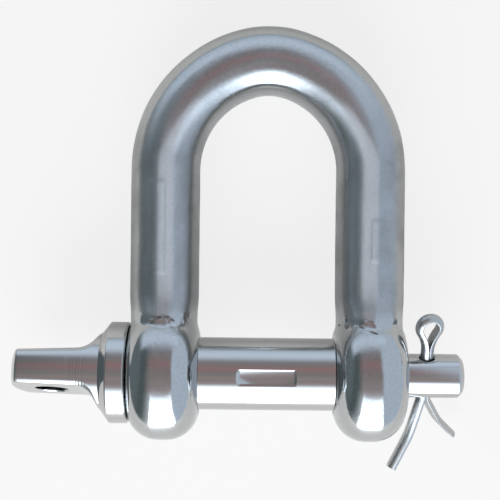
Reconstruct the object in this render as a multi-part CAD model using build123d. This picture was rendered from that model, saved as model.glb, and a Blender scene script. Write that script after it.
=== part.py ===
# A stainless steel D shackle: a forged bow with two round eyes, a screw pin with a collar
# and a flat tongue, and a split pin through the pin's free end. It lies on its side, on the
# two eyes and the crown. Sizes are in millimetres and angles in degrees.
#
# The X axis is the pin's axis, with the pin's head at -X and the crown at +Y. The origin is
# on that axis, midway between the legs of the bow.

import os
from math import asin, atan2, cos, degrees, radians, tan

from build123d import *

# The bow: one round bar, bent to a D, with a forged eye at each end.
bar_d = 16.0
jaw_width = 31.0  # clear width between the two eyes
inside_length = 56.5  # from the pin's surface to the inside of the crown
crown_rise = 25.4  # from the end of the straight legs to the crown, on the bar's centre line
crown_bend_r = 18.9  # on the bar's centre line
plain_eye_thickness = 16.8
threaded_eye_thickness = 16.5
eye_r = 15.4
eye_rim_r = 7.4  # rounding of the eye's rim, seen along the bow
seat_depth = 0.5  # how far the plain eye is faced off for the pin's collar
seat_margin = 0.4  # around the collar, on the radius

# The screw pin, as it is turned.
pin_d = 16.7
plain_bore_clearance = 0.65  # on the radius
plain_bore_chamfer = 0.8
shoulder_inset = 0.3  # how far the pin's shoulder reaches into the threaded eye
shoulder_round_r = 0.3
thread_d = 16.0  # drawn at its major diameter
thread_clearance = 0.05  # on the radius
thread_mouth_chamfer = 1.6
thread_end_inset = 1.5  # from the end of the thread to the outside of the eye
thread_end_chamfer = 1.2
journal_d = 10.1  # plain free end that takes the split pin
journal_reach = 13.3  # from the outside of the eye to the journal's end
journal_chamfer = 1.0
collar_d = 23.4
collar_thickness = 4.3
collar_edge_r = 0.6
cone_length = 1.9
cone_rise = 2.4  # on the radius, from the stub to the collar
cone_root_r = 1.5
stub_length = 20.9
stub_end_dome_r = 20.0

# The tongue: two flats milled on the stub, with a hole through them for a spike or a wire.
tongue_thickness = 8.2  # in the middle of its hole
tongue_draft = 2.0  # how much each flat closes toward the end
tongue_edge_r = 2.4  # rounding along the sides of the flats
tongue_runout_r = 4.5
tongue_runout_angle = 65.0
tongue_runout_gap = 2.5  # from where the flats turn up to the root of the stub
tongue_hole_d = 7.7
tongue_hole_inset = 9.2  # from the tongue's end to the middle of its hole
tongue_roll = -16.5  # how far the flats are turned out of the bow's plane

# The split pin: half-round wire, folded flat side to flat side.
cotter_d = 2.9
cotter_hole_clearance = 0.25  # on the radius
cotter_inset = 5.0  # from the outside of the eye to the middle of the cross hole
cotter_roll = 25.0  # how far its eye leans out of the bow's plane
cotter_swivel = 30.0  # how far its loop is turned about its own length
cotter_slit = 0.1  # between the two flat sides
cotter_loop_r = 1.9  # inside the loop
cotter_loop_height = 7.7  # from the journal's surface to the middle of the loop
cotter_throat = 4.8  # from there to where the two flat sides meet
cotter_bend_r = 3.0  # inside each leg's bend
long_leg = 19.0
long_leg_angle = 21.0
short_leg = 14.0
short_leg_angle = 42.0

over = 2.0  # how far a cutting tool runs past what it cuts

bar_r = bar_d / 2
pin_r = pin_d / 2
thread_r = thread_d / 2
journal_r = journal_d / 2
collar_r = collar_d / 2
stub_r = collar_r - cone_rise
cotter_r = cotter_d / 2

leg_x = (jaw_width + (plain_eye_thickness + threaded_eye_thickness) / 2) / 2
plain_inside = leg_x - plain_eye_thickness / 2
plain_outside = leg_x + plain_eye_thickness / 2
threaded_inside = leg_x - threaded_eye_thickness / 2
threaded_outside = leg_x + threaded_eye_thickness / 2
crown_y = pin_r + inside_length + bar_r
leg_end_y = crown_y - crown_rise

collar_seat_x = seat_depth - plain_outside
collar_front_x = collar_seat_x - collar_thickness
stub_root_x = collar_front_x - cone_length
tongue_end_x = stub_root_x - stub_length
tongue_hole_x = tongue_end_x + tongue_hole_inset
tongue_turn_x = stub_root_x - tongue_runout_gap
shoulder_x = threaded_inside + shoulder_inset
journal_end_x = threaded_outside + journal_reach
cotter_x = threaded_outside + cotter_inset

# The lean that brings the crown's underside level with the undersides of the eyes.
rest_lean = degrees(asin((eye_r - bar_r) / crown_y))
at_rest = Rot(-rest_lean, 0, 0)

# The split pin lies on the lower side of its hole.
cotter_drop = cotter_hole_clearance - cotter_slit / 2
cross_hole_place = Pos(cotter_x, 0, 0) * Rot(cotter_roll, 0, 0)
cotter_place = cross_hole_place * Pos(0, 0, -cotter_drop) * Rot(0, cotter_swivel, 0)


def bow_bar():
    """The bar as bent: two straight legs, two flank arcs and the crown's arc, all tangent."""
    drop = crown_rise - crown_bend_r
    flank_r = (drop**2 + leg_x**2 - crown_bend_r**2) / (2 * (leg_x - crown_bend_r))
    flank_angle = degrees(atan2(drop, flank_r - leg_x))
    path = Wire(
        [
            Line((leg_x, 0), (leg_x, leg_end_y)),
            CenterArc((leg_x - flank_r, leg_end_y), flank_r, 0, flank_angle),
            CenterArc((0, crown_y - crown_bend_r), crown_bend_r, flank_angle, 180 - 2 * flank_angle),
            CenterArc((flank_r - leg_x, leg_end_y), flank_r, 180 - flank_angle, flank_angle),
            Line((-leg_x, leg_end_y), (-leg_x, 0)),
        ]
    )
    section = Plane(origin=path @ 0, z_dir=path % 0) * Circle(bar_r)
    return sweep(section, path=path)


def eye_blank(middle_x, thickness):
    """A forged eye before it is bored: a disc across the leg's end, with a rounded rim."""
    side = Pos(middle_x, 0) * Rectangle(thickness, 2 * eye_r)
    side = fillet(side.vertices(), eye_rim_r)
    upper_half = side & Pos(middle_x, eye_r) * Rectangle(2 * thickness, 2 * eye_r)
    return revolve(upper_half, Axis.X)


def bore_tool(inside, outside, bore_r, chamfer):
    """The tool for one eye's bore, with a chamfer at both mouths."""
    outline = Polyline(
        (inside - over, 0),
        (inside - over, bore_r + chamfer + over),
        (inside + chamfer, bore_r),
        (outside - chamfer, bore_r),
        (outside + over, bore_r + chamfer + over),
        (outside + over, 0),
        close=True,
    )
    return revolve(make_face(outline), Axis.X)


def seat_tool():
    """The tool that faces off the plain eye where the collar bears on it."""
    return Pos(collar_seat_x - over / 2, 0, 0) * Rot(0, 90, 0) * Cylinder(collar_r + seat_margin, over)


def bow():
    """The forged bow: a plain bore on the side of the pin's head, a threaded one opposite."""
    body = bow_bar()
    body += eye_blank(-leg_x, plain_eye_thickness)
    body += eye_blank(leg_x, threaded_eye_thickness)
    plain_bore_r = pin_r + plain_bore_clearance
    threaded_bore_r = thread_r + thread_clearance
    body -= seat_tool()
    body -= mirror(bore_tool(plain_inside, -collar_seat_x, plain_bore_r, plain_bore_chamfer), Plane.YZ)
    body -= bore_tool(threaded_inside, threaded_outside, threaded_bore_r, thread_mouth_chamfer)
    return body


def pin_blank():
    """The pin as turned: domed stub, cone, collar, shank, thread and journal."""
    thread_end_x = threaded_outside - thread_end_inset
    dome_angle = asin(stub_r / stub_end_dome_r)
    dome_depth = stub_end_dome_r * (1 - cos(dome_angle))
    dome = CenterArc((tongue_end_x + stub_end_dome_r, 0), stub_end_dome_r, 180, -degrees(dome_angle))
    corners = [
        (stub_root_x, stub_r, cone_root_r),
        (collar_front_x, collar_r, collar_edge_r),
        (collar_seat_x, collar_r, collar_edge_r),
        (collar_seat_x, pin_r, 0),
        (shoulder_x, pin_r, shoulder_round_r),
        (shoulder_x, thread_r - thread_end_chamfer, 0),
        (shoulder_x + thread_end_chamfer, thread_r, 0),
        (thread_end_x - thread_end_chamfer, thread_r, 0),
        (thread_end_x, thread_r - thread_end_chamfer, 0),
        (thread_end_x, journal_r, 0),
        (journal_end_x - journal_chamfer, journal_r, 0),
        (journal_end_x, journal_r - journal_chamfer, 0),
    ]
    points = [(x, r) for x, r, _ in corners]
    side = FilletPolyline(
        (tongue_end_x + dome_depth, stub_r),
        *points,
        (journal_end_x, 0),
        radius=[rounding for _, _, rounding in corners],
    )
    axis = Line((journal_end_x, 0), (tongue_end_x, 0))
    return revolve(make_face(Curve() + [dome, side, axis]), Axis.X)


def flat_tool():
    """The tool for the tongue's upper flat: a drafted face that runs out in an arc."""
    slope = tan(radians(tongue_draft))
    start_x = tongue_end_x - over
    start_height = tongue_thickness / 2 + (start_x - tongue_hole_x) * slope
    turn_height = tongue_thickness / 2 + (tongue_turn_x - tongue_hole_x) * slope
    top = collar_r + over
    runout = (top - turn_height) / tan(radians(tongue_runout_angle))
    outline = FilletPolyline(
        (start_x, start_height),
        (tongue_turn_x, turn_height),
        (tongue_turn_x + runout, top),
        (start_x, top),
        radius=[0, tongue_runout_r, 0, 0],
        close=True,
    )
    return extrude(make_face(outline), collar_r + over, both=True)


def screw_pin():
    body = pin_blank()
    upper = Rot(tongue_roll, 0, 0) * flat_tool()
    lower = Rot(tongue_roll + 180, 0, 0) * flat_tool()
    body -= [upper, lower]
    ridges = body.edges().filter_by(GeomType.ELLIPSE)
    body = fillet(ridges.filter_by_position(Axis.X, tongue_end_x, tongue_turn_x), tongue_edge_r)
    tongue_hole = Rot(90, 0, 0) * Cylinder(tongue_hole_d / 2, 2 * collar_r)
    body -= Rot(tongue_roll, 0, 0) * Pos(tongue_hole_x, 0, 0) * tongue_hole
    cross_hole = Rot(90, 0, 0) * Cylinder(cotter_r + cotter_hole_clearance, 2 * collar_r)
    body -= cross_hole_place * cross_hole
    return body


def split_pin():
    """The split pin along its own Y axis, loop up: one half-round wire, swept tip to tip."""
    half_slit = cotter_slit / 2
    loop_y = journal_r + cotter_loop_height
    throat_y = loop_y - cotter_throat
    throat_r = (cotter_throat**2 + half_slit**2 - cotter_loop_r**2) / (2 * (cotter_loop_r - half_slit))
    throat_angle = degrees(atan2(cotter_throat, half_slit + throat_r))
    bend_r = cotter_bend_r + cotter_r
    bend_y = -journal_r
    bend_x = half_slit + bend_r
    right_bend = CenterArc((bend_x, bend_y), bend_r, 180 + short_leg_angle, -short_leg_angle)
    left_bend = CenterArc((-bend_x, bend_y), bend_r, 0, -long_leg_angle)
    right_tip = right_bend @ 0 - (right_bend % 0) * short_leg
    left_tip = left_bend @ 1 + (left_bend % 1) * long_leg
    path = Wire(
        [
            Line(right_tip, right_bend @ 0),
            right_bend,
            Line((half_slit, bend_y), (half_slit, throat_y)),
            CenterArc((half_slit + throat_r, throat_y), throat_r, 180, -throat_angle),
            CenterArc((0, loop_y), cotter_loop_r, -throat_angle, 180 + 2 * throat_angle),
            CenterArc((-half_slit - throat_r, throat_y), throat_r, throat_angle, -throat_angle),
            Line((-half_slit, throat_y), (-half_slit, bend_y)),
            left_bend,
            Line(left_bend @ 1, left_tip),
        ]
    )
    along = path % 0
    outward = (along.Y, -along.X, 0)
    half_round = Circle(cotter_r) & Pos(cotter_r, 0) * Rectangle(cotter_d, cotter_d)
    section = Plane(origin=path @ 0, x_dir=outward, z_dir=along) * half_round
    return cotter_place * sweep(section, path=path)


def export(name, shape):
    export_step(at_rest * shape, os.path.join("parts", name + ".step"))


os.makedirs("parts", exist_ok=True)
export("bow", bow())
export("screw_pin", screw_pin())
export("split_pin", split_pin())
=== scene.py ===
"""A stainless steel D shackle with its screw pin and split pin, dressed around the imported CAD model.

Lengths are in metres. The pieces are made in the bow's own plane, with the pin along X and the
crown at +Y, and are then leaned back onto the floor, as the CAD model lies.
"""

from math import asin, atan2, cos, pi, radians, sin, sqrt, tan

import bmesh
import bpy
from bpy.props import FloatProperty, FloatVectorProperty, PointerProperty
from mathutils import Matrix, Vector


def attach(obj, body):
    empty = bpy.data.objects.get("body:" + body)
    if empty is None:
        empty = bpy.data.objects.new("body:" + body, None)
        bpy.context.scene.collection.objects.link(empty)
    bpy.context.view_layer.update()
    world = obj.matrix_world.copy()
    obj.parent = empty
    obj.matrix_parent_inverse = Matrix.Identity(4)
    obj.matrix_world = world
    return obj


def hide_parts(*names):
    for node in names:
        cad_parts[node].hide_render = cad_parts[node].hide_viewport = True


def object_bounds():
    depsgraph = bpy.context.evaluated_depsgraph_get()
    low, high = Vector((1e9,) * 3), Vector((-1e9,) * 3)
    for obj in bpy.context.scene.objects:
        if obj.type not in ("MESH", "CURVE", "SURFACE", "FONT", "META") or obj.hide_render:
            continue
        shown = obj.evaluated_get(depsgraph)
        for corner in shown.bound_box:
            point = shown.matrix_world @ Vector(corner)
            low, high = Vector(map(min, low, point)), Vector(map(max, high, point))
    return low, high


bl_info = {
    "name": "D shackle with screw pin",
    "version": (1, 0, 0),
    "blender": (4, 5, 0),
    "location": "3D View > Sidebar > Shackle",
    "description": "Makes a forged and polished D shackle, its screw pin and its split pin",
    "category": "Add Mesh",
}

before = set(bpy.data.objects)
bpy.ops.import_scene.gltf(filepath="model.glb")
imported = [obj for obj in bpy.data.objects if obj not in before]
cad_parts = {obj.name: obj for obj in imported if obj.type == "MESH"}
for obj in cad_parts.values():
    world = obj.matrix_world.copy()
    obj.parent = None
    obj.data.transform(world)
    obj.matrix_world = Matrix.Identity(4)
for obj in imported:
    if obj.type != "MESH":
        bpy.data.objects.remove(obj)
CAD_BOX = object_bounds()
FLOOR_Z = CAD_BOX[0].z

MM = 0.001
OVER = 2 * MM  # how far a cutting tool runs past what it cuts
NEAR = 0.01 * MM  # how close a point has to be to count as being at a place
TOUCHING = 0.002 * MM  # how close two points have to be to be merged
SQUARE_ON = 0.99  # how much of a face's normal has to lie along a rod for the face to be its end
SMOOTH_ANGLE = radians(35)  # edges that turn by more than this stay sharp
CORNER_STEPS = 6
TOOL_SIDES = 96


def linear(hex_colour):
    """An sRGB hex colour as linear RGBA."""
    channels = [int(hex_colour[i : i + 2], 16) / 255 for i in (1, 3, 5)]
    return [c / 12.92 if c <= 0.04045 else ((c + 0.055) / 1.055) ** 2.4 for c in channels] + [1.0]


def length(name, description, millimetres):
    return FloatProperty(name=name, description=description, default=millimetres * MM, unit="LENGTH")


def colour(name, description, hex_colour):
    return FloatVectorProperty(
        name=name, description=description, default=linear(hex_colour), size=4, subtype="COLOR", min=0, max=1
    )


def level(name, description, value):
    return FloatProperty(name=name, description=description, default=value)


class BowSettings(bpy.types.PropertyGroup):
    """The bow's sizes and its steel"""

    bar_d: length("Bar diameter", "Diameter of the round bar", 16.0)
    leg_x: length("Leg offset", "From the middle to the axis of a leg", 23.825)
    crown_y: length("Crown", "From the pin's axis to the bar's centre line at the crown", 72.85)
    crown_rise: length("Crown rise", "From the end of the straight legs to the crown", 25.4)
    crown_bend_r: length("Crown bend", "Bend radius at the crown, on the bar's centre line", 18.9)
    eye_r: length("Eye radius", "Outside radius of the eyes", 15.4)
    eye_rim_r: length("Eye rim", "Rounding of the eyes' rims", 7.4)
    plain_eye: length("Plain eye", "Thickness of the eye beside the pin's head", 16.8)
    threaded_eye: length("Threaded eye", "Thickness of the eye that takes the thread", 16.5)
    neck_top: length("Neck top", "Where a leg begins to thicken toward its eye, from the pin's axis", 18.2)
    neck_foot: length("Neck foot", "Where a leg is thickest, from the pin's axis", 13.0)
    neck_rise: length("Neck rise", "How much higher than the bar a leg is at its thickest", 1.8)
    skin_wave: length("Forging waves", "Height of the long waves of the forged skin", 0.14)
    steel: colour("Bow steel", "Colour of the polished forged steel", "#C6C8C8")


class PinSettings(bpy.types.PropertyGroup):
    """The screw pin's sizes and its steel"""

    pin_d: length("Pin diameter", "Diameter of the pin's shank", 16.7)
    thread_d: length("Thread diameter", "Major diameter of the thread", 16.0)
    thread_pitch: length("Thread pitch", "Distance from crest to crest", 2.0)
    journal_d: length("Journal diameter", "Diameter of the pin's free end", 10.1)
    collar_d: length("Collar diameter", "Diameter of the collar", 23.4)
    stub_d: length("Stub diameter", "Diameter of the stub that the tongue is milled from", 18.6)
    tongue: length("Tongue thickness", "Thickness in the middle of the tongue's hole", 8.2)
    tongue_edge: length("Tongue edge", "Softness of the edges along the tongue's flats", 1.5)
    tongue_hole_d: length("Tongue hole", "Diameter of the hole through the tongue", 7.7)
    steel: colour("Pin steel", "Colour of the turned and polished steel", "#CBCBCA")


class SplitPinSettings(bpy.types.PropertyGroup):
    """The split pin's sizes and its steel"""

    wire_d: length("Wire", "Diameter of the two half-round wires together", 2.9)
    loop_r: length("Loop", "Inside radius of the loop", 1.9)
    long_leg: length("Long leg", "Length of the long leg beyond its bend", 19.0)
    short_leg: length("Short leg", "Length of the short leg beyond its bend", 16.2)
    steel: colour("Wire steel", "Colour of the drawn wire", "#C4C4C2")


class StageSettings(bpy.types.PropertyGroup):
    """The floor's colour and the levels of the light"""

    floor: colour("Floor", "Colour of the floor", "#F6F6F6")
    floor_level: level("Floor level", "Own brightness of the floor", 1.08)
    softbox: level("Softbox", "Brightness of the softbox in reflections", 6.5)
    lamp: level("Lamp", "Brightness of the softbox on the floor", 5.0)
    daylight: level("Daylight", "Brightness of the light from all sides", 0.38)
    canopy_level: level("Canopy", "Brightness of the canopy", 1.6)


# Places along the pin's axis, as in the CAD model.
COLLAR_SEAT = -31.725 * MM
COLLAR_FRONT = -36.025 * MM
STUB_ROOT = -37.925 * MM
TONGUE_TURN = -40.425 * MM
TONGUE_HOLE = -49.625 * MM
TONGUE_END = -58.825 * MM
PLAIN_INSIDE = -15.425 * MM
THREADED_INSIDE = 15.575 * MM
THREADED_OUTSIDE = 32.075 * MM
SHOULDER = 15.875 * MM
THREAD_END = 30.575 * MM
JOURNAL_END = 45.375 * MM
CROSS_HOLE = 37.075 * MM

# The lean brings the crown down to the floor: the eyes' radius less the bar's, over the crown's distance.
LEAN = asin((15.4 - 8.0) / 72.85)
AT_REST = Matrix.Rotation(-LEAN, 4, "X")

# How far the tongue and the cross hole are turned about the pin, and the split pin in its hole.
TONGUE_ROLL = radians(-16.5)
CROSS_ROLL = radians(25.0)
SWIVEL = radians(30.0)


# Small helpers over Blender's own tools.


def select_only(*objects):
    bpy.ops.object.select_all(action="DESELECT")
    for obj in objects:
        obj.select_set(True)
    bpy.context.view_layer.objects.active = objects[0]


def open_mesh(obj):
    """Opens edit mode on this object alone, with everything selected."""
    select_only(obj)
    bpy.ops.object.mode_set(mode="EDIT")
    bpy.ops.mesh.select_mode(type="VERT")
    bpy.ops.mesh.select_all(action="SELECT")


def close_mesh():
    bpy.ops.object.mode_set(mode="OBJECT")


def settle(obj):
    """Puts the object's place and turn into its mesh."""
    select_only(obj)
    bpy.ops.object.transform_apply(location=True, rotation=True, scale=True)
    return obj


def place(obj, matrix):
    obj.matrix_world = matrix
    return settle(obj)


def pick(obj, kind, test):
    """In edit mode, selects the vertices, edges or faces that pass the test."""
    bpy.ops.mesh.select_mode(type=kind)
    bpy.ops.mesh.select_all(action="DESELECT")
    mesh = bmesh.from_edit_mesh(obj.data)
    for item in {"VERT": mesh.verts, "EDGE": mesh.edges, "FACE": mesh.faces}[kind]:
        item.select = bool(test(item))
    mesh.select_flush_mode()
    bmesh.update_edit_mesh(obj.data)


def push(*offset):
    """Extrudes what is selected."""
    bpy.ops.mesh.extrude_region_move(TRANSFORM_OT_translate={"value": offset})


def spin(steps, angle, centre, axis=(0, 0, 1)):
    """Extrudes what is selected round an axis; a positive angle turns right-handed about it."""
    bpy.ops.mesh.spin(steps=steps, angle=-angle, center=centre, axis=axis)


def tidy_shell(obj):
    """Merges doubles, and turns all faces outwards."""
    open_mesh(obj)
    bpy.ops.mesh.remove_doubles(threshold=TOUCHING)
    bpy.ops.mesh.normals_make_consistent(inside=False)
    close_mesh()


def apply_modifier(obj, kind, **settings):
    select_only(obj)
    modifier = obj.modifiers.new(kind.lower(), kind)
    for name, value in settings.items():
        setattr(modifier, name, value)
    bpy.ops.object.modifier_apply(modifier=modifier.name)


def cut(obj, tool, operation="DIFFERENCE"):
    """Cuts, adds or intersects a tool, which is then thrown away."""
    apply_modifier(obj, "BOOLEAN", operation=operation, solver="EXACT", object=tool)
    bpy.data.objects.remove(tool)
    if not obj.data.polygons:
        raise RuntimeError(f"nothing is left of {obj.name} after a cut")


def point_mesh(name, point):
    """A mesh of a single point: a small plane merged to its middle. Leaves edit mode open."""
    bpy.ops.mesh.primitive_plane_add(size=MM, location=point)
    obj = bpy.context.object
    obj.name = name
    settle(obj)
    open_mesh(obj)
    bpy.ops.mesh.merge(type="CENTER")
    return obj


def draw(obj, start, points):
    """Draws on from the selected point, through (x, radius, longest step) triples."""
    at = Vector((start[0], start[1], 0))
    for x, r, step in points:
        goal = Vector((x, r, 0))
        run = goal - at
        count = max(1, round(run.length / step)) if step else 1
        for _ in range(count):
            push(*(run / count))
        at = goal


def round_corner(obj, x, r, radius):
    """Rounds one corner of a drawn profile to a radius."""
    corner_place = Vector((x, r, 0))
    pick(obj, "VERT", lambda v: (v.co - corner_place).length < NEAR)
    mesh = bmesh.from_edit_mesh(obj.data)
    corner = next(v for v in mesh.verts if v.select)
    sides = [e.other_vert(corner).co - corner.co for e in corner.link_edges]
    turn = pi - sides[0].angle(sides[1])
    bpy.ops.mesh.bevel(offset=radius * tan(turn / 2), segments=CORNER_STEPS, affect="VERTICES")


def turn_profile(obj, steps):
    """Spins the drawn profile once round the X axis and closes edit mode."""
    bpy.ops.mesh.select_all(action="SELECT")
    spin(steps, 2 * pi, (0, 0, 0), (1, 0, 0))
    close_mesh()
    tidy_shell(obj)


def rod(name, radius, along, turn, middle=(0, 0, 0), sides=TOOL_SIDES, flare=0.0):
    """A round tool, along X before its turn, whose two ends may open out at 45 degrees."""
    bpy.ops.mesh.primitive_cylinder_add(vertices=sides, radius=radius, depth=along, rotation=(0, pi / 2, 0))
    tool = bpy.context.object
    tool.name = name
    settle(tool)
    if flare:
        open_mesh(tool)
        for side in (-1, 1):
            pick(tool, "FACE", lambda f: f.normal.x * side > SQUARE_ON)
            push(side * flare, 0, 0)
            grow = (radius + flare) / radius
            bpy.ops.transform.resize(value=(1, grow, grow), center_override=(side * along / 2, 0, 0))
        close_mesh()
    return place(tool, Matrix.Translation(middle) @ turn)


def smooth(obj):
    select_only(obj)
    bpy.ops.object.shade_smooth_by_angle(angle=SMOOTH_ANGLE)


def eased(share):
    """A share held between 0 and 1, with soft ends."""
    share = min(max(share, 0), 1)
    return share**2 * (3 - 2 * share)


# The bow.


BAR_SIDES = 96
EYE_SIDES = 128
RIM_STEPS = 14
NECK_STEPS = 12
FLANK_STEPS = 32
CROWN_STEPS = 48
NECK_NARROWING = 0.035  # the share of its width that a leg loses at the neck's foot

# The bar and the eyes are melted into one skin, in cells of this size, and smoothed this often.
SKIN_CELL = 0.44 * MM
SKIN_SMOOTHING = 10

# Length of the forging waves, and how much smaller the eyes start, to leave room for them.
WAVE_LENGTH = 11 * MM
WAVE_ROOM = 0.03 * MM


def leg_section(bow, y):
    """Half the width and height of a leg: round, and near the eye higher and slightly narrower."""
    share = eased((bow.neck_top - y) / (bow.neck_top - bow.neck_foot))
    return bow.bar_d / 2 * (1 - NECK_NARROWING * share), bow.bar_d / 2 + bow.neck_rise * share


def push_leg(bow, x, stops):
    """Pushes the selected ring along a leg from stop to stop, and gives it the leg's section there."""
    for start, end in zip(stops, stops[1:]):
        push(0, end - start, 0)
        (wide, high), (new_wide, new_high) = leg_section(bow, start), leg_section(bow, end)
        bpy.ops.transform.resize(value=(new_wide / wide, 1, new_high / high), center_override=(x, end, 0))


def bent_bar(bow):
    """One bar: a ring pushed up a leg, and spun round a flank, the crown and the other flank."""
    drop = bow.crown_rise - bow.crown_bend_r
    flank_r = (drop**2 + bow.leg_x**2 - bow.crown_bend_r**2) / (2 * (bow.leg_x - bow.crown_bend_r))
    flank_angle = atan2(drop, flank_r - bow.leg_x)
    leg_end = bow.crown_y - bow.crown_rise
    neck = bow.neck_top - bow.neck_foot
    neck_stops = [bow.neck_foot + neck * k / NECK_STEPS for k in range(NECK_STEPS + 1)]
    stops = [0, *neck_stops, leg_end]
    bpy.ops.mesh.primitive_circle_add(
        vertices=BAR_SIDES, radius=bow.bar_d / 2, location=(bow.leg_x, 0, 0), rotation=(pi / 2, 0, 0)
    )
    bar = bpy.context.object
    bar.name = "bow"
    settle(bar)
    open_mesh(bar)
    grow = [side / (bow.bar_d / 2) for side in leg_section(bow, 0)]
    bpy.ops.transform.resize(value=(grow[0], 1, grow[1]), center_override=(bow.leg_x, 0, 0))
    push_leg(bow, bow.leg_x, stops)
    spin(FLANK_STEPS, flank_angle, (bow.leg_x - flank_r, leg_end, 0))
    spin(CROWN_STEPS, pi - 2 * flank_angle, (0, bow.crown_y - bow.crown_bend_r, 0))
    spin(FLANK_STEPS, flank_angle, (flank_r - bow.leg_x, leg_end, 0))
    push_leg(bow, -bow.leg_x, stops[::-1])
    pick(bar, "EDGE", lambda e: e.is_boundary)
    bpy.ops.mesh.edge_face_add()
    close_mesh()
    tidy_shell(bar)
    return bar


def forged_eye(bow, middle, thickness):
    """An eye before it is bored: a disc across the leg's end, its rims rolled over."""
    bpy.ops.mesh.primitive_cylinder_add(
        vertices=EYE_SIDES, radius=bow.eye_r - WAVE_ROOM, depth=thickness,
        location=(middle, 0, 0), rotation=(0, pi / 2, 0),
    )
    eye = settle(bpy.context.object)
    open_mesh(eye)
    half = thickness / 2 - NEAR
    pick(eye, "EDGE", lambda e: abs(sum(v.co.x - middle for v in e.verts)) > 2 * half)
    bpy.ops.mesh.bevel(offset=bow.eye_rim_r, segments=RIM_STEPS, affect="EDGES")
    close_mesh()
    return eye


def wrinkle_necks(body, bow):
    """Fine wrinkles in the forged skin, deepest in the creases between the legs and the eyes."""
    crease, reach = 12.6 * MM, 4.5 * MM
    fold, height = 1.3 * MM, 0.4 * MM
    group = body.vertex_groups.new(name="necks")
    for vertex in body.data.vertices:
        share = 1 - abs(vertex.co.y - crease) / reach
        if share > 0 and abs(vertex.co.z) > bow.bar_d / 4:
            group.add([vertex.index], share**2, "REPLACE")
    wrinkles = bpy.data.textures.new("neck_wrinkles", "CLOUDS")
    wrinkles.noise_scale = fold
    wrinkles.noise_depth = 2
    apply_modifier(
        body, "DISPLACE", texture=wrinkles, strength=height, mid_level=0.5, texture_coords="LOCAL",
        vertex_group=group.name,
    )
    body.vertex_groups.clear()


# Low blank pads that the die raised on the legs: side, lowest and highest place along the leg and
# width in millimetres, and turn about the leg in degrees.
PADS = (
    (-1, 23.0, 44.5, 4.2, -9),
    (1, 26.3, 36.1, 4.2, 10),
)
PAD_HEIGHT = 0.22 * MM
PAD_EDGE = 0.55 * MM


def raise_pads(body, bow):
    """Lifts the skin where the pads lie, so that they keep its waves and have soft edges."""
    for side, low, high, width, turn in PADS:
        middle = (low + high) / 2
        for vertex in body.data.vertices:
            x, y, z = vertex.co.x - side * bow.leg_x, vertex.co.y - middle * MM, vertex.co.z
            if z > 0:
                across = (bow.bar_d / 2) * (atan2(x, z) - radians(turn))
                inside = min(width * MM / 2 - abs(across), (high - low) * MM / 2 - abs(y))
                lift = 1 + PAD_HEIGHT * eased(inside / PAD_EDGE) / (bow.bar_d / 2)
                vertex.co.x = side * bow.leg_x + x * lift
                vertex.co.z = z * lift


# Cold shuts in the creases of the necks: place, side (1 above, -1 below), half length, half width and
# depth in millimetres, and turn in degrees.
COLD_SHUTS = (
    (-24.9, 13.4, 1, 1.6, 0.36, 0.7, 12),
    (-22.7, 13.7, 1, 1.4, 0.3, 0.6, -14),
    (-26.0, 12.7, 1, 1.0, 0.3, 0.5, 40),
    (-21.3, 13.1, 1, 0.9, 0.26, 0.5, -38),
    (18.0, 11.6, 1, 1.3, 0.36, 0.8, -9),
    (16.6, 11.8, 1, 0.7, 0.3, 0.6, 14),
    (20.9, 11.9, 1, 1.6, 0.28, 0.6, -24),
    (23.4, 10.8, 1, 1.7, 0.26, 0.5, -20),
    (22.6, 13.2, 1, 1.2, 0.2, 0.3, -8),
    (-23.4, 13.4, -1, 2.2, 0.3, 0.5, -5),
    (24.2, 13.0, -1, 2.0, 0.3, 0.5, 6),
)
# A spot that was ground on one eye's shoulder: place and half sizes in millimetres, and turn in degrees.
GROUND_SPOT = ((33.2, 8.2, 2.6), (1.7, 2.5, 3.4), 14)
HOLLOW_CELL = 0.07 * MM  # fine enough to keep the shape of the smallest cold shut


def hollow(at, size, turn):
    """The tool for a small hollow: a stretched ball."""
    bpy.ops.mesh.primitive_ico_sphere_add(subdivisions=3, radius=1)
    shape = Matrix.Diagonal((*[s * MM for s in size], 1))
    ball = bpy.context.object
    return place(ball, Matrix.Translation(at) @ Matrix.Rotation(radians(turn), 4, "Z") @ shape)


def hollow_tool(body):
    """One tool for all the hollows in the bow; the cold shuts lie in its skin, wherever that is."""
    clear = 30  # height in millimetres at which a line down to the skin starts
    spot, size, turn = GROUND_SPOT
    tools = [hollow([c * MM for c in spot], size, turn)]
    for x, y, side, long, wide, deep, turn in COLD_SHUTS:
        found, at, _, _ = body.ray_cast(Vector((x, y, side * clear)) * MM, (0, 0, -side))
        if not found:
            raise RuntimeError(f"there is no skin for a cold shut at {x}, {y}")
        tools.append(hollow(at, (long, wide, deep), turn))
    select_only(*tools)
    bpy.ops.object.join()
    apply_modifier(tools[0], "REMESH", mode="VOXEL", voxel_size=HOLLOW_CELL)
    return tools[0]


def bore_tools(bow, pin):
    """The tools for the seat and the two bores, each bore with a chamfer at both mouths."""
    seat_play, plain_play, thread_play = 0.4 * MM, 0.65 * MM, 0.05 * MM
    plain_chamfer, threaded_chamfer = 0.8 * MM, 1.6 * MM
    across = Matrix.Identity(4)
    seat_middle = (COLLAR_SEAT - OVER / 2, 0, 0)
    tools = [rod("seat", pin.collar_d / 2 + seat_play, OVER, across, seat_middle, EYE_SIDES)]
    for inside, outside, radius, chamfer in (
        (COLLAR_SEAT, PLAIN_INSIDE, pin.pin_d / 2 + plain_play, plain_chamfer),
        (THREADED_INSIDE, THREADED_OUTSIDE, pin.thread_d / 2 + thread_play, threaded_chamfer),
    ):
        straight = outside - inside - 2 * chamfer
        middle = ((inside + outside) / 2, 0, 0)
        tools.append(rod("bore", radius, straight, across, middle, EYE_SIDES, flare=chamfer + OVER))
    return tools


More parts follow.
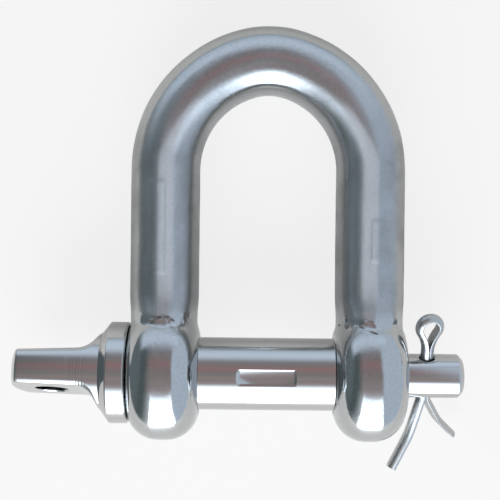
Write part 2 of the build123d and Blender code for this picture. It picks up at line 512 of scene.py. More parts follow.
def forged_bow(bow, pin):
    """The bow: forged to one skin, wrinkled and waved, and then hollowed and bored."""
    body = bent_bar(bow)
    eyes = [forged_eye(bow, -bow.leg_x, bow.plain_eye), forged_eye(bow, bow.leg_x, bow.threaded_eye)]
    select_only(body, *eyes)
    bpy.ops.object.join()
    apply_modifier(body, "REMESH", mode="VOXEL", voxel_size=SKIN_CELL)
    apply_modifier(body, "SMOOTH", factor=0.5, iterations=SKIN_SMOOTHING)
    wrinkle_necks(body, bow)
    waves = bpy.data.textures.new("forging_waves", "CLOUDS")
    waves.noise_scale = WAVE_LENGTH
    apply_modifier(
        body, "DISPLACE", texture=waves, strength=bow.skin_wave, mid_level=0.5, texture_coords="LOCAL"
    )
    raise_pads(body, bow)
    cut(body, hollow_tool(body))
    for tool in bore_tools(bow, pin):
        cut(body, tool)
    place(body, AT_REST)
    smooth(body)
    return body


# The screw pin.


PIN_SIDES = 144
THREAD_SIDES = 96
CROSS_SIDES = 64
DOME_STEPS = 8
THREAD_STEPS = 48
THREAD_DEPTH = 1.25 * MM
CORE_DEPTH = 1.15 * MM  # less than the thread's, so that the ridge's foot lies inside the core
CROSS_PLAY = 0.25 * MM  # between the split pin and its hole, all round

# Shallow grooves that the turning tool left around the stub: place and depth in millimetres.
TOOL_MARKS = (
    (-44.7, 0.014),
    (-44.2, 0.024),
    (-43.6, 0.021),
    (-42.9, 0.027),
    (-42.3, 0.018),
    (-41.5, 0.024),
    (-40.9, 0.015),
)
MARK_WIDTH = 0.3 * MM


def turned_pin(pin):
    """The pin as turned, from the stub's domed end to the journal's."""
    stub_r, collar_r = pin.stub_d / 2, pin.collar_d / 2
    pin_r, journal_r = pin.pin_d / 2, pin.journal_d / 2
    core_r = pin.thread_d / 2 - CORE_DEPTH
    dome_r, chamfer = 20 * MM, MM
    fine, close, wide = 0.2 * MM, 0.5 * MM, 0.8 * MM
    dome = []
    for k in range(1, DOME_STEPS + 1):
        r = stub_r * k / DOME_STEPS
        dome.append((TONGUE_END + dome_r - sqrt(dome_r**2 - r**2), r, 0))
    rim_x = dome[-1][0]
    tool_marks = []
    for x, depth in TOOL_MARKS:
        for across, r in ((-0.5, stub_r), (0, stub_r - depth * MM), (0.5, stub_r)):
            tool_marks.append((x * MM + across * MARK_WIDTH, r, 0))
    obj = point_mesh("screw_pin", (TONGUE_END, 0, 0))
    draw(
        obj,
        (TONGUE_END, 0),
        [
            *dome,
            (tool_marks[0][0], stub_r, wide),
            *tool_marks,
            (STUB_ROOT, stub_r, fine),
            (COLLAR_FRONT, collar_r, fine),
            (COLLAR_SEAT, collar_r, 0),
            (COLLAR_SEAT, pin_r, 0),
            (SHOULDER, pin_r, close),
            (SHOULDER, core_r, 0),
            (THREAD_END, core_r, wide),
            (THREAD_END, journal_r, 0),
            (JOURNAL_END - chamfer, journal_r, close),
            (JOURNAL_END, journal_r - chamfer, 0),
            (JOURNAL_END, 0, 0),
        ],
    )
    for x, r, radius in (
        (rim_x, stub_r, 0.5 * MM),
        (COLLAR_FRONT, collar_r, 0.6 * MM),
        (COLLAR_SEAT, collar_r, 0.6 * MM),
        (SHOULDER, pin_r, 0.3 * MM),
        (JOURNAL_END - chamfer, journal_r, 0.35 * MM),
        (JOURNAL_END, journal_r - chamfer, 0.3 * MM),
    ):
        round_corner(obj, x, r, radius)
    turn_profile(obj, PIN_SIDES)
    return obj


def flat_height(pin, x):
    """Height of the tongue's flat above the pin's axis: drafted, then running out in an arc and a slope."""
    slope, steep, runout_r = radians(2.0), radians(65.0), 4.5 * MM
    drafted = pin.tongue / 2 + (x - TONGUE_HOLE) * tan(slope)
    turn = pin.tongue / 2 + (TONGUE_TURN - TONGUE_HOLE) * tan(slope)
    reach = runout_r * tan((steep - slope) / 2)
    start = TONGUE_TURN - reach * cos(slope)
    if x < start:
        return drafted
    middle_x = start - runout_r * sin(slope)
    middle_z = turn - reach * sin(slope) + runout_r * cos(slope)
    if x - middle_x < runout_r * sin(steep):
        return middle_z - sqrt(runout_r**2 - (x - middle_x) ** 2)
    return turn + (x - TONGUE_TURN) * tan(steep)


def soft_least(a, b, width):
    """The smaller of two heights, rounded over where they meet."""
    share = max(width - abs(a - b), 0) / width
    return min(a, b) - share**2 * width / 4


def mill_tongue(obj, pin):
    """Presses the stub's round sides down to the two flats, with softened edges. A cutter and a bevel
    would leave ragged edges on the fine rings of a turned mesh, so the points are moved."""
    roll = Matrix.Rotation(TONGUE_ROLL, 4, "X")
    obj.data.transform(roll.inverted())
    for vertex in obj.data.vertices:
        if vertex.co.x < COLLAR_SEAT - MM:
            height = abs(vertex.co.y)
            lowered = soft_least(height, flat_height(pin, vertex.co.x), pin.tongue_edge)
            if height > 0:
                vertex.co.y *= min(lowered, height) / height
    obj.data.transform(roll)


def thread_ridge(pin):
    """The thread: one ridge, wound along the pin by a screw modifier and trimmed to the blank."""
    pitch, crest_r = pin.thread_pitch, pin.thread_d / 2
    root_r = crest_r - THREAD_DEPTH
    flank, crest_end, foot_end = 0.42 * pitch, 0.54 * pitch, 0.96 * pitch
    start = SHOULDER - pitch / 2
    turns = int((THREAD_END - SHOULDER) / pitch) + 1
    ridge = point_mesh("thread", (start, root_r, 0))
    profile = [(start + flank, crest_r, 0), (start + crest_end, crest_r, 0), (start + foot_end, root_r, 0)]
    draw(ridge, (start, root_r), profile)
    bpy.ops.mesh.select_all(action="SELECT")
    bpy.ops.mesh.edge_face_add()
    bpy.ops.mesh.delete(type="ONLY_FACE")
    close_mesh()
    apply_modifier(
        ridge, "SCREW", axis="X", screw_offset=pitch, iterations=turns, use_merge_vertices=False,
        steps=THREAD_STEPS, render_steps=THREAD_STEPS,
    )
    open_mesh(ridge)
    bpy.ops.mesh.fill_holes(sides=0)
    close_mesh()
    tidy_shell(ridge)
    chamfer = 1.15 * MM
    blank = point_mesh("thread_blank", (SHOULDER, 0, 0))
    draw(
        blank,
        (SHOULDER, 0),
        [
            (SHOULDER, crest_r - chamfer, 0),
            (SHOULDER + chamfer, crest_r, 0),
            (THREAD_END - chamfer, crest_r, 0),
            (THREAD_END, crest_r - chamfer, 0),
            (THREAD_END, 0, 0),
        ],
    )
    turn_profile(blank, THREAD_SIDES)
    cut(ridge, blank, "INTERSECT")
    return ridge


def blank_field(pin):
    """The tool for a blank field struck into the shank: a flat bottom and sloping sides."""
    wide, high, deep = 12.4 * MM, 3.2 * MM, 0.42 * MM
    slope, corner = 0.62 * MM, 0.4 * MM
    bottom, top = pin.pin_d / 2 - deep, pin.pin_d / 2 + MM
    bpy.ops.mesh.primitive_plane_add(size=1, location=(0, 0, bottom))
    tool = bpy.context.object
    tool.scale = (wide, high, 1)
    settle(tool)
    open_mesh(tool)
    bpy.ops.mesh.bevel(offset=corner, segments=4, affect="VERTICES")
    bpy.ops.mesh.select_all(action="SELECT")
    push(0, 0, top - bottom)
    spread = slope * (top - bottom) / deep
    grow = (1 + 2 * spread / wide, 1 + 2 * spread / high, 1)
    bpy.ops.transform.resize(value=grow, center_override=(0, 0, top))
    close_mesh()
    tidy_shell(tool)
    return tool


def screw_pin(pin, wire_d):
    """The whole screw pin: turned, milled, threaded, struck and drilled."""
    tongue_chamfer, cross_chamfer = 0.25 * MM, 0.35 * MM
    body = turned_pin(pin)
    mill_tongue(body, pin)
    cut(body, thread_ridge(pin), "UNION")
    cut(body, blank_field(pin))
    upright = Matrix.Rotation(pi / 2, 4, "Z")
    rolled = Matrix.Rotation(TONGUE_ROLL, 4, "X") @ Matrix.Translation((TONGUE_HOLE, 0, 0)) @ upright
    straight = pin.tongue - 2 * tongue_chamfer
    cut(body, rod("tongue_hole", pin.tongue_hole_d / 2, straight, rolled, flare=OVER))
    cross = Matrix.Translation((CROSS_HOLE, 0, 0)) @ Matrix.Rotation(CROSS_ROLL, 4, "X") @ upright
    straight = pin.journal_d - 2 * cross_chamfer
    cut(body, rod("cross_hole", wire_d / 2 + CROSS_PLAY, straight, cross, sides=CROSS_SIDES, flare=OVER))
    place(body, AT_REST)
    smooth(body)
    return body


# The split pin.


HALF_SLIT = 0.05 * MM  # half the gap between the two wires
WIRE_EDGE = 0.14 * MM  # rounding of the half-round wire's edges
LOOP_ABOVE = 7.7 * MM  # from the journal's skin to the middle of the loop
THROAT = 6.1 * MM  # from the middle of the loop down to where the wires meet
BEND_R = 3.0 * MM  # inside radius of the legs' bends
SLOW_R = 22 * MM  # radius of the slow bend further along each leg
LOOP_TWIST = radians(-20.0)  # how far the loop is wrung out of the plane of its legs
SHORT_SPLAY, SHORT_MORE = radians(30.0), radians(11.0)
LONG_SPLAY, LONG_MORE = radians(16.0), radians(13.0)
WIRE_SIDES = 32
BEND_STEPS = 10
SLOW_STEPS = 8
LOOP_STEPS = 36


def splay(side, angle, more, leg, bend, bend_r):
    """Draws a leg on from its bend: straight, then bent on by a wide arc, and straight to its tip."""
    straight = (leg - SLOW_R * more) / 2
    x = bend[0] - side * bend_r * cos(angle) + side * straight * sin(angle)
    y = bend[1] - bend_r * sin(angle) - straight * cos(angle)
    push(side * straight * sin(angle), -straight * cos(angle), 0)
    spin(SLOW_STEPS, side * more, (x + side * SLOW_R * cos(angle), y + SLOW_R * sin(angle), 0))
    push(side * straight * sin(angle + more), -straight * cos(angle + more), 0)


def wring_loop(obj, low, high):
    """Turns the loop about the split pin's length, more and more from low to high."""
    for vertex in obj.data.vertices:
        share = min(max((vertex.co.y - low) / (high - low), 0), 1)
        vertex.co.rotate(Matrix.Rotation(LOOP_TWIST * share, 3, "Y"))


def half_round_section(wire_r, foot_y):
    """The wire's section: a half circle with rounded edges. Leaves edit mode open, with it selected."""
    bpy.ops.mesh.primitive_circle_add(vertices=WIRE_SIDES, radius=wire_r, rotation=(pi / 2, 0, 0))
    obj = bpy.context.object
    obj.name = "split_pin"
    settle(obj)
    open_mesh(obj)
    bpy.ops.mesh.bisect(plane_co=(0, 0, 0), plane_no=(1, 0, 0), clear_inner=True)
    pick(obj, "VERT", lambda v: v.co.x < NEAR)
    bpy.ops.mesh.edge_face_add()
    pick(obj, "VERT", lambda v: v.co.x < NEAR)
    bpy.ops.mesh.bevel(offset=WIRE_EDGE, segments=3, affect="VERTICES")
    bpy.ops.mesh.select_all(action="SELECT")
    bpy.ops.transform.translate(value=(HALF_SLIT, foot_y, 0))
    return obj


def split_pin(wire, pin):
    """Half-round wire, pushed and spun from the tip of the short leg, round the loop, to the long leg's."""
    wire_r = wire.wire_d / 2
    journal_r = pin.journal_d / 2
    loop_y = journal_r + LOOP_ABOVE
    throat_y = loop_y - THROAT
    throat_r = (THROAT**2 + HALF_SLIT**2 - wire.loop_r**2) / (2 * (wire.loop_r - HALF_SLIT))
    throat_angle = atan2(THROAT, HALF_SLIT + throat_r)
    bend_r = BEND_R + wire_r
    straight = throat_y + journal_r
    # The section stands at the foot of the straight part; the short leg grows down from it.
    obj = half_round_section(wire_r, -journal_r)
    bend = (HALF_SLIT + bend_r, -journal_r)
    spin(BEND_STEPS, SHORT_SPLAY, (*bend, 0))
    splay(1, SHORT_SPLAY, SHORT_MORE, wire.short_leg, bend, bend_r)
    pick(obj, "VERT", lambda v: abs(v.co.y + journal_r) < NEAR)
    push(0, straight, 0)
    spin(BEND_STEPS, -throat_angle, (HALF_SLIT + throat_r, throat_y, 0))
    spin(LOOP_STEPS, pi + 2 * throat_angle, (0, loop_y, 0))
    spin(BEND_STEPS, -throat_angle, (-HALF_SLIT - throat_r, throat_y, 0))
    push(0, -straight, 0)
    bend = (-HALF_SLIT - bend_r, -journal_r)
    spin(BEND_STEPS, -LONG_SPLAY, (*bend, 0))
    splay(-1, LONG_SPLAY, LONG_MORE, wire.long_leg, bend, bend_r)
    pick(obj, "EDGE", lambda e: e.is_boundary)
    bpy.ops.mesh.fill_holes(sides=0)
    close_mesh()
    tidy_shell(obj)
    wring_loop(obj, journal_r, throat_y + MM)
    # In its hole the split pin has dropped by the play, onto the hole's lower side.
    dropped = Matrix.Translation((0, 0, HALF_SLIT - CROSS_PLAY))
    in_hole = Matrix.Rotation(CROSS_ROLL, 4, "X") @ dropped @ Matrix.Rotation(SWIVEL, 4, "Y")
    place(obj, AT_REST @ Matrix.Translation((CROSS_HOLE, 0, 0)) @ in_hole)
    smooth(obj)
    return obj


# Materials.


def add_node(tree, kind, inputs, **settings):
    """Adds a node with its settings. Inputs go by name or number to another node's output or a value."""
    node = tree.nodes.new(kind)
    for name, value in settings.items():
        setattr(node, name, value)
    for socket, source in inputs.items():
        if isinstance(source, bpy.types.NodeSocket):
            tree.links.new(source, node.inputs[socket])
        else:
            node.inputs[socket].default_value = source
    return node


def new_material(name):
    material = bpy.data.materials.new(name)
    material.use_nodes = True
    tree = material.node_tree
    tree.nodes.clear()
    return material, tree


def fill_ramp(ramp, stops):
    """Gives a colour ramp its stops, as (position, linear colour) pairs, in place of its first two."""
    elements = ramp.color_ramp.elements
    for position, rgba in stops:
        elements.new(position).color = rgba
    elements.remove(elements[0])
    elements.remove(elements[-1])


# Roughness of the bow along its length, by millimetres from the pin's axis: the eyes and the crown are
# polished brighter than the legs.
FINISH_ALONG = ((10, 0.1), (13.5, 0.18), (16.5, 0.45), (52, 0.47), (67, 0.22))
FINISH_REACH = 80

# Real orange peel and lathe rings are 0.1 to 0.3 mm apart, too fine to show, and are drawn coarser.
PEEL_SIZE, PEEL_DEPTH = 0.7 * MM, 0.014 * MM
PEEL_PAINTED_SHADE = 0.92  # how bright the painted shade in the low places of the orange peel is
PEEL_LOW, PEEL_HIGH = 0.3, 0.62  # the noise's values at its low and at its high places
RING_SPACING, RING_DEPTH = 0.35 * MM, 0.004 * MM
RING_STRETCH = 0.02  # how much slower the rings' noise changes across the pin than along it
WIRE_GRAIN, WIRE_DEPTH = 0.8 * MM, 0.015 * MM
BELT_PATCH = 6 * MM  # size of the places that the polishing belt left a little rougher or smoother
BELT_SPREAD = (0.85, 1.15)  # and how much smoother and rougher those are
BELT_NOISE = (0.3, 0.7)  # the noise's values at the smoothest and the roughest of them

# The belt's scratches run round the bar: straight across the legs up to here, and above it they turn
# with the bend, fully so after this run.
LEGS_END = 50 * MM
TURN_RUN = 40 * MM


def polished_forging(steel):
    """Forged stainless steel, belted and electropolished."""
    # It gives the viewer a mirror on the bow's eyes, and along the bar a sheen that is drawn out lengthwise
    # by the belt's scratches round it, over a faint orange-peel skin with a little painted shade in its low
    # places.
    material, tree = new_material("electropolished_forging")
    where = add_node(tree, "ShaderNodeTexCoord", {}).outputs["Object"]
    axes = add_node(tree, "ShaderNodeSeparateXYZ", {"Vector": where})
    # The bar's direction: straight up the legs, and above them round a point between their upper ends.
    above = add_node(
        tree, "ShaderNodeMapRange",
        {
            "Value": axes.outputs["Y"],
            "From Min": LEGS_END,
            "From Max": LEGS_END + TURN_RUN,
            "To Min": 0.0,
            "To Max": -TURN_RUN,
        },
    )
    lengthwise = add_node(
        tree, "ShaderNodeCombineXYZ", {"X": above.outputs["Result"], "Y": axes.outputs["X"], "Z": 0.0}
    )
    peel = add_node(tree, "ShaderNodeTexNoise", {"Vector": where, "Scale": 1 / PEEL_SIZE, "Detail": 3.0})
    patches = add_node(tree, "ShaderNodeTexNoise", {"Vector": where, "Scale": 1 / BELT_PATCH, "Detail": 2.0})
    share = add_node(
        tree, "ShaderNodeMapRange",
        {"Value": axes.outputs["Y"], "From Min": 0.0, "From Max": FINISH_REACH * MM},
    )
    belted = add_node(tree, "ShaderNodeValToRGB", {"Fac": share.outputs["Result"]})
    fill_ramp(belted, [(y / FINISH_REACH, (value, value, value, 1)) for y, value in FINISH_ALONG])
    uneven = add_node(
        tree, "ShaderNodeMapRange",
        {
            "Value": patches.outputs["Fac"],
            "From Min": BELT_NOISE[0],
            "From Max": BELT_NOISE[1],
            "To Min": BELT_SPREAD[0],
            "To Max": BELT_SPREAD[1],
        },
    )
    rough = add_node(
        tree, "ShaderNodeMath",
        {0: belted.outputs["Color"], 1: uneven.outputs["Result"]},
        operation="MULTIPLY",
    )
    # Painted shade: the steel's colour is darkened in the low places of the orange peel.
    peel_shaded_steel = add_node(tree, "ShaderNodeValToRGB", {"Fac": peel.outputs["Fac"]})
    fill_ramp(peel_shaded_steel, [(PEEL_LOW, [c * PEEL_PAINTED_SHADE for c in steel[:3]] + [1]), (PEEL_HIGH, steel)])
    bump = add_node(
        tree, "ShaderNodeBump", {"Height": peel.outputs["Fac"], "Strength": 1.0, "Distance": PEEL_DEPTH}
    )
    shader = add_node(
        tree, "ShaderNodeBsdfPrincipled",
        {
            "Base Color": peel_shaded_steel.outputs["Color"],
            "Metallic": 1.0,
            "Roughness": rough.outputs[0],
            "Anisotropic": 1.0,
            "Normal": bump.outputs["Normal"],
            "Tangent": lengthwise.outputs["Vector"],
        },
    )
    add_node(tree, "ShaderNodeOutputMaterial", {"Surface": shader.outputs["BSDF"]})
    return material


def turned_steel(steel):
    """Turned stainless steel, polished."""
    # It gives the viewer clear, bright bands along the pin, softened a little by the lathe's fine rings.
    material, tree = new_material("polished_turned_steel")
    where = add_node(tree, "ShaderNodeTexCoord", {}).outputs["Object"]
    along = add_node(
        tree, "ShaderNodeMapping", {"Vector": where, "Scale": (1, RING_STRETCH, RING_STRETCH)}
    )
    rings = add_node(
        tree, "ShaderNodeTexNoise",
        {"Vector": along.outputs["Vector"], "Scale": 1 / RING_SPACING, "Detail": 2.0},
    )
    bump = add_node(
        tree, "ShaderNodeBump", {"Height": rings.outputs["Fac"], "Strength": 1.0, "Distance": RING_DEPTH}
    )
    shader = add_node(
        tree, "ShaderNodeBsdfPrincipled",
        {"Base Color": steel, "Metallic": 1.0, "Roughness": 0.12, "Normal": bump.outputs["Normal"]},
    )
    add_node(tree, "ShaderNodeOutputMaterial", {"Surface": shader.outputs["BSDF"]})
    return material


def drawn_wire(steel):
    """Drawn stainless wire."""
    # It gives the viewer a satin grey with soft highlights along the wire, from its slightly uneven skin.
    material, tree = new_material("drawn_stainless_wire")
    where = add_node(tree, "ShaderNodeTexCoord", {}).outputs["Object"]
    skin = add_node(tree, "ShaderNodeTexNoise", {"Vector": where, "Scale": 1 / WIRE_GRAIN, "Detail": 3.0})
    bump = add_node(
        tree, "ShaderNodeBump", {"Height": skin.outputs["Fac"], "Strength": 1.0, "Distance": WIRE_DEPTH}
    )
    shader = add_node(
        tree, "ShaderNodeBsdfPrincipled",
        {"Base Color": steel, "Metallic": 1.0, "Roughness": 0.34, "Normal": bump.outputs["Normal"]},
    )
    add_node(tree, "ShaderNodeOutputMaterial", {"Surface": shader.outputs["BSDF"]})
    return material


def finish_piece(obj, material, node, body):
    """Gives a finished piece its material, and hands it to the frame in place of its CAD node."""
    obj.data.materials.clear()
    obj.data.materials.append(material)
    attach(obj, body)
    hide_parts(node)


# The stage.


# Where the camera's axis meets the bow's plane, the width of the camera's frame and its focal length in
# pixels, and how many pixels show a millimetre of that plane.
VIEW_MIDDLE = Vector((-4.05, 28.81, 0)) * MM
FRAME_PIXELS = 500
FOCAL_PIXELS = 950
PIXELS_PER_MM = 4.29
CAMERA_ROLL = radians(0.64)
SENSOR_MM = 36

FLOOR_SIZE = 8

SOFTBOX_SIZE = (0.62, 0.4)
SOFTBOX_PLACE = (-0.08, -0.55, 0.32)
SOFTBOX_TILT = radians(60)

# How much of what the camera and what reflections see of the floor is its own brightness.
FLOOR_OWN_TO_CAMERA = 0.8
FLOOR_OWN_IN_REFLECTIONS = 0.2

# The canopy's radius, its width as a share of that, and how far its middle is moved to the near side.
CANOPY_RADIUS = 0.466
CANOPY_WIDTH = 0.5
CANOPY_SHIFT = 0.28

# What the canopy shows, by the angle from the camera's axis toward the near side, in degrees.
CANOPY_BANDS = (
    # The pale far wall, dimmer toward its rim.
    (-96, "#7D878F"),
    (-86, "#8E99A3"),
    (-78, "#AAB8C7"),
    (-66, "#B4C1D2"),
    (-56, "#B0BDCC"),
    (-49, "#A0A8B5"),
    (-43, "#888B95"),
    # The dim opening round the camera.
    (-37, "#76757B"),
    (-26, "#79706F"),
    (-17, "#886C6F"),
    (-7, "#7A6F71"),
    (3, "#777474"),
    (11, "#857E7C"),
    (20, "#82777A"),
    (29, "#8F888A"),
    # The near side.
    (36, "#A0A4A8"),
    (46, "#B4BAC0"),
    (84, "#B4BAC0"),
    (96, "#C0C4C6"),
)
CANOPY_REACH = 110  # the angle at which the bands' ramp ends on either side, in degrees

# What it shows at the left and the right: where that begins and is full, as the sine of the angle to the
# right, from which angle toward the near side on, and the colour.
CANOPY_SIDES = (
    (-0.26, -0.66, -42, "#4C5557"),
    (-0.72, -0.9, -100, "#5A6468"),
    (0.29, 0.43, -42, "#A5B1C0"),
    (0.52, 0.66, -100, "#A5B1C0"),
)
SIDE_EDGE = 8  # over how many degrees a side sets in

# The softbox as reflections see it, by where each of its four soft edges begins and is full: two by the
# angle toward the near side in degrees, and two by the sine of the angle to the right.
SOFTBOX_RISES = ((28, 62), (100, 95))
SOFTBOX_WIDENS = ((-0.36, -0.27), (0.37, 0.3))
SOFTBOX_COLOUR = "#DEEAF9"


def floor(stage):
    """The pale floor. Part of its brightness is its own, for the camera and in reflections, so that it
    keeps a light, soft shadow; all other light sees a plain matt floor."""
    bpy.ops.mesh.primitive_plane_add(size=FLOOR_SIZE, location=(0, 0, FLOOR_Z))
    obj = settle(bpy.context.object)
    obj.name = "floor"
    material, tree = new_material("pale_floor")
    matt = add_node(tree, "ShaderNodeBsdfDiffuse", {"Color": stage.floor})
    glow = add_node(tree, "ShaderNodeEmission", {"Color": stage.floor, "Strength": stage.floor_level})
    path = add_node(tree, "ShaderNodeLightPath", {})
    mirrored = add_node(
        tree, "ShaderNodeMath",
        {0: path.outputs["Is Glossy Ray"], 1: path.outputs["Is Transmission Ray"]},
        operation="MAXIMUM",
    )
    in_reflections = add_node(
        tree, "ShaderNodeMath", {0: mirrored.outputs[0], 1: FLOOR_OWN_IN_REFLECTIONS}, operation="MULTIPLY"
    )
    share = add_node(
        tree, "ShaderNodeMath",
        {0: path.outputs["Is Camera Ray"], 1: FLOOR_OWN_TO_CAMERA, 2: in_reflections.outputs[0]},
        operation="MULTIPLY_ADD",
    )
    mix = add_node(
        tree, "ShaderNodeMixShader",
        {0: share.outputs[0], 1: matt.outputs["BSDF"], 2: glow.outputs["Emission"]},
    )
    add_node(tree, "ShaderNodeOutputMaterial", {"Surface": mix.outputs["Shader"]})
    obj.data.materials.append(material)


def soft_area(tree, edges):
    """How much a place belongs to one area of the canopy: the product of the area's soft edges. An edge
    is a measured value, and where along it the area begins and is full."""
    share = 1.0
    for measured, begins, full in edges:
        edge = add_node(
            tree, "ShaderNodeMapRange", {"Value": measured, "From Min": begins, "From Max": full},
            interpolation_type="SMOOTHSTEP",
        )
        product = add_node(
            tree, "ShaderNodeMath", {0: share, 1: edge.outputs["Result"]}, operation="MULTIPLY"
        )
        share = product.outputs[0]
    return share


def canopy_glow(stage):
    """The canopy's light: bands by the angle toward the near side, the two sides over them, and the
    white of the softbox."""
    material, tree = new_material("canopy_glow")
    where = add_node(tree, "ShaderNodeTexCoord", {}).outputs["Object"]
    leaned = add_node(
        tree, "ShaderNodeMapping",
        {"Vector": where, "Location": AT_REST @ VIEW_MIDDLE, "Rotation": (-LEAN, 0, 0)},
        vector_type="TEXTURE",
    )
    toward = add_node(tree, "ShaderNodeVectorMath", {0: leaned.outputs["Vector"]}, operation="NORMALIZE")
    axes = add_node(tree, "ShaderNodeSeparateXYZ", {"Vector": toward.outputs["Vector"]})
    near = add_node(tree, "ShaderNodeMath", {0: axes.outputs["Y"], 1: -1.0}, operation="MULTIPLY")
    over_near = add_node(
        tree, "ShaderNodeMath", {0: near.outputs[0], 1: axes.outputs["Z"]}, operation="ARCTAN2"
    )
    angle, right = over_near.outputs[0], axes.outputs["X"]
    share = add_node(
        tree, "ShaderNodeMapRange",
        {"Value": angle, "From Min": radians(-CANOPY_REACH), "From Max": radians(CANOPY_REACH)},
    )
    bands = add_node(tree, "ShaderNodeValToRGB", {"Fac": share.outputs["Result"]})
    stops = []
    for degrees_over, hex_colour in CANOPY_BANDS:
        stops.append(((degrees_over + CANOPY_REACH) / (2 * CANOPY_REACH), linear(hex_colour)))
    fill_ramp(bands, stops)
    shown = bands.outputs["Color"]
    for begins, full, over, hex_colour in CANOPY_SIDES:
        sets_in = (angle, radians(over - SIDE_EDGE), radians(over))
        area = soft_area(tree, [(right, begins, full), sets_in])
        mix = add_node(tree, "ShaderNodeMix", {0: area, 6: shown, 7: linear(hex_colour)}, data_type="RGBA")
        shown = mix.outputs[2]
    edges = [(angle, radians(begins), radians(full)) for begins, full in SOFTBOX_RISES]
    edges += [(right, begins, full) for begins, full in SOFTBOX_WIDENS]
    dim = add_node(tree, "ShaderNodeEmission", {"Color": shown, "Strength": stage.canopy_level})
    white = add_node(
        tree, "ShaderNodeEmission", {"Color": linear(SOFTBOX_COLOUR), "Strength": stage.softbox}
    )
    mix = add_node(
        tree, "ShaderNodeMixShader",
        {0: soft_area(tree, edges), 1: dim.outputs["Emission"], 2: white.outputs["Emission"]},
    )
    add_node(tree, "ShaderNodeOutputMaterial", {"Surface": mix.outputs["Shader"]})
    material.cycles.emission_sampling = "NONE"
    return material


def canopy(stage):
    """A soft tent round the object and the camera, near on the far side and further on the near side. Only
    reflections see it: pale on the far side, dim round the camera, dark at the left, and white low on the
    near side, where the softbox stands."""
    bpy.ops.mesh.primitive_uv_sphere_add(segments=64, ring_count=32, radius=CANOPY_RADIUS)
    obj = bpy.context.object
    obj.name = "canopy"
    middle = Matrix.Translation(VIEW_MIDDLE - Vector((0, CANOPY_SHIFT, 0)))
    place(obj, AT_REST @ middle @ Matrix.Diagonal((CANOPY_WIDTH, 1, 1, 1)))
    obj.visible_camera = False
    obj.visible_diffuse = False
    obj.visible_shadow = False
    obj.data.materials.append(canopy_glow(stage))


def photo_camera():
    """The camera straight over the bow's plane, as in the photograph."""
    distance = FOCAL_PIXELS / PIXELS_PER_MM * MM
    across = Vector((cos(CAMERA_ROLL), sin(CAMERA_ROLL), 0))
    up = Vector((-sin(CAMERA_ROLL), cos(CAMERA_ROLL), 0))
    turn = Matrix((across, up, Vector((0, 0, 1)))).transposed().to_4x4()
    camera = bpy.data.objects.new("camera", bpy.data.cameras.new("camera"))
    bpy.context.scene.collection.objects.link(camera)
    camera.data.sensor_width = SENSOR_MM
    camera.data.lens = SENSOR_MM / FRAME_PIXELS * FOCAL_PIXELS
    camera.data.clip_start = 10 * MM
    camera.matrix_world = AT_REST @ Matrix.Translation(VIEW_MIDDLE + Vector((0, 0, distance))) @ turn
    bpy.context.scene.camera = camera


def lights(stage):
    """One large softbox low on the near side, and a pale world behind the canopy."""
    wide, high = SOFTBOX_SIZE
    lamp = bpy.data.lights.new("softbox", "AREA")
    lamp.shape = "RECTANGLE"
    lamp.size, lamp.size_y = wide, high
    lamp.energy = stage.lamp * pi * wide * high
    softbox = bpy.data.objects.new("softbox", lamp)
    bpy.context.scene.collection.objects.link(softbox)
    softbox.location = SOFTBOX_PLACE
    softbox.rotation_euler = (SOFTBOX_TILT, 0, 0)
    softbox.visible_glossy = False
    world = bpy.data.worlds.new("studio")
    bpy.context.scene.world = world
    world.use_nodes = True
    world.node_tree.nodes["Background"].inputs["Color"].default_value = stage.floor
    world.node_tree.nodes["Background"].inputs["Strength"].default_value = stage.daylight


class SHACKLE_OT_bow(bpy.types.Operator):
    """Makes the forged bow"""

    bl_idname = "shackle.bow"
    bl_label = "Bow"

    def execute(self, context):
        scene = context.scene
        obj = forged_bow(scene.shackle_bow, scene.shackle_pin)
        finish_piece(obj, polished_forging(scene.shackle_bow.steel), "bow", "bow")
        return {"FINISHED"}


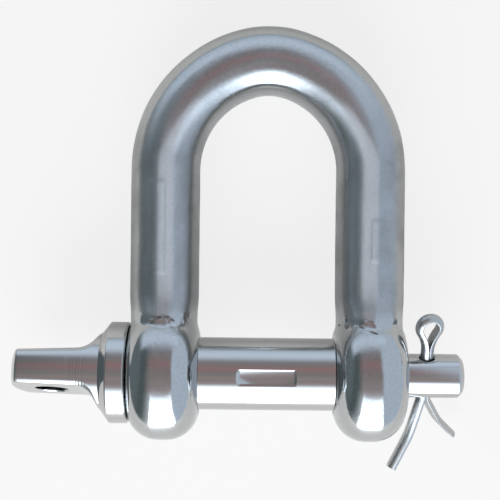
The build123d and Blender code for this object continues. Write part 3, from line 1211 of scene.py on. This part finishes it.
class SHACKLE_OT_screw_pin(bpy.types.Operator):
    """Makes the screw pin"""

    bl_idname = "shackle.screw_pin"
    bl_label = "Screw pin"

    def execute(self, context):
        scene = context.scene
        obj = screw_pin(scene.shackle_pin, scene.shackle_split_pin.wire_d)
        finish_piece(obj, turned_steel(scene.shackle_pin.steel), "screw_pin", "pin")
        return {"FINISHED"}


class SHACKLE_OT_split_pin(bpy.types.Operator):
    """Makes the split pin"""

    bl_idname = "shackle.split_pin"
    bl_label = "Split pin"

    def execute(self, context):
        scene = context.scene
        obj = split_pin(scene.shackle_split_pin, scene.shackle_pin)
        finish_piece(obj, drawn_wire(scene.shackle_split_pin.steel), "split_pin", "split_pin")
        return {"FINISHED"}


class SHACKLE_OT_stage(bpy.types.Operator):
    """Makes the floor, the canopy, the lights and the camera"""

    bl_idname = "shackle.stage"
    bl_label = "Stage"

    def execute(self, context):
        stage = context.scene.shackle_stage
        floor(stage)
        canopy(stage)
        lights(stage)
        photo_camera()
        context.scene.view_settings.view_transform = "Standard"
        return {"FINISHED"}


OPERATORS = (SHACKLE_OT_bow, SHACKLE_OT_screw_pin, SHACKLE_OT_split_pin, SHACKLE_OT_stage)
SETTINGS = {
    "shackle_bow": BowSettings,
    "shackle_pin": PinSettings,
    "shackle_split_pin": SplitPinSettings,
    "shackle_stage": StageSettings,
}


class SHACKLE_PT_panel(bpy.types.Panel):
    bl_label = "Shackle"
    bl_idname = "SHACKLE_PT_panel"
    bl_space_type = "VIEW_3D"
    bl_region_type = "UI"
    bl_category = "Shackle"

    def draw(self, context):
        for operator in OPERATORS:
            self.layout.operator(operator.bl_idname)


def register():
    for name, settings in SETTINGS.items():
        bpy.utils.register_class(settings)
        setattr(bpy.types.Scene, name, PointerProperty(type=settings))
    for operator in OPERATORS:
        bpy.utils.register_class(operator)
    bpy.utils.register_class(SHACKLE_PT_panel)


def unregister():
    bpy.utils.unregister_class(SHACKLE_PT_panel)
    for operator in reversed(OPERATORS):
        bpy.utils.unregister_class(operator)
    for name, settings in SETTINGS.items():
        delattr(bpy.types.Scene, name)
        bpy.utils.unregister_class(settings)


def main():
    register()
    bpy.ops.shackle.bow()
    bpy.ops.shackle.screw_pin()
    bpy.ops.shackle.split_pin()
    bpy.ops.shackle.stage()


if __name__ == "__main__":
    main()
